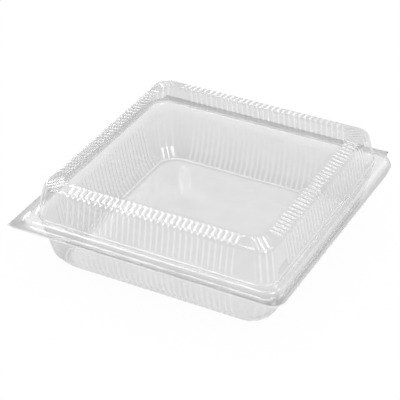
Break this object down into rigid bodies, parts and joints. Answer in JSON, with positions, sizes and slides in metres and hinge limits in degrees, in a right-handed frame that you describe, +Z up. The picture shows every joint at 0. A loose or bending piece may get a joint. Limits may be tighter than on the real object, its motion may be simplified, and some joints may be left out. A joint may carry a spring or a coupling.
{
  "type": "hinged-lid takeout container",
  "caption": "Clear square thermoformed takeout container with a ribbed fold-over lid, a nesting rim and a pointed lifting tab.",
  "frame": {"origin": "centre of the face that the tray stands on, midway between its four ribbed walls", "axes": "+Z up, X along the fold, +Y from the lifting edge towards the fold, with the lid closed"},
  "size_m": [0.23, 0.2324, 0.074],
  "materials": {
    "clear_sheet_tray": "clear polished thermoformed polystyrene sheet",
    "clear_sheet_lid": "clear polished thermoformed polystyrene sheet"
  },
  "bodies": {
    "tray": {"tray": "clear_sheet_tray"},
    "lid": {"lid": "clear_sheet_lid"}
  },
  "joints": [
    {"name": "lid_fold", "type": "hinge", "parent": "tray", "child": "lid", "pos_m": [0, 0.1176, 0.042], "axis": [-1, 0, 0], "range_deg": [0, 180]}
  ]
}
